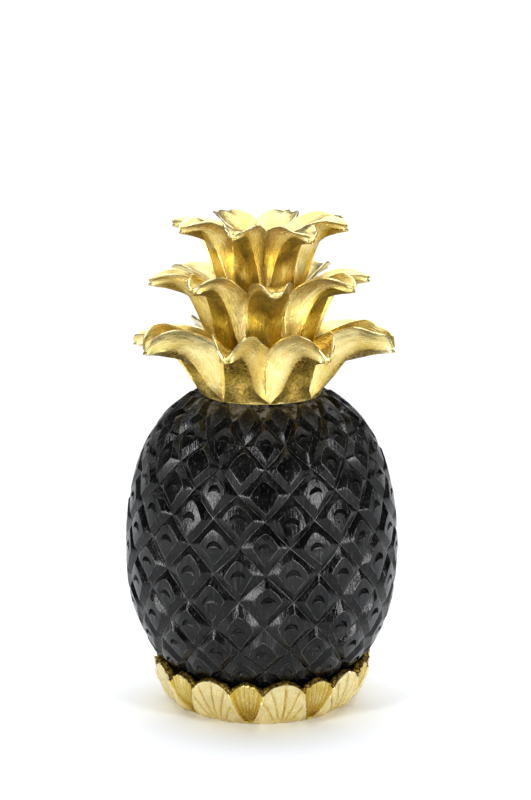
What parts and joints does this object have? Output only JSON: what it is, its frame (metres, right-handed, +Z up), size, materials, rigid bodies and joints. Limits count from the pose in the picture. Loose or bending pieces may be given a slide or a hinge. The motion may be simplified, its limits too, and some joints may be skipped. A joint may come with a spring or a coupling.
{
  "type": "decorative pineapple",
  "caption": "Moulded pineapple ornament: a black fruit carved in diamonds, a gold crown of curling leaves and a gold cup of leaves as its foot.",
  "frame": {"origin": "on the ground, at the middle of the outline", "axes": "+Z up along the pineapple's axis, -Y towards the front of the picture"},
  "size_m": [0.131, 0.131, 0.2375],
  "materials": {
    "gold_paint": "satin gold paint, brushed and speckled, darker in the hollows",
    "black_lacquer": "glossy black lacquer with fine carving scratches"
  },
  "bodies": {
    "root": {"leaf_cup": "gold_paint", "fruit_body": "black_lacquer", "leaf_crown": "gold_paint"}
  },
  "joints": []
}
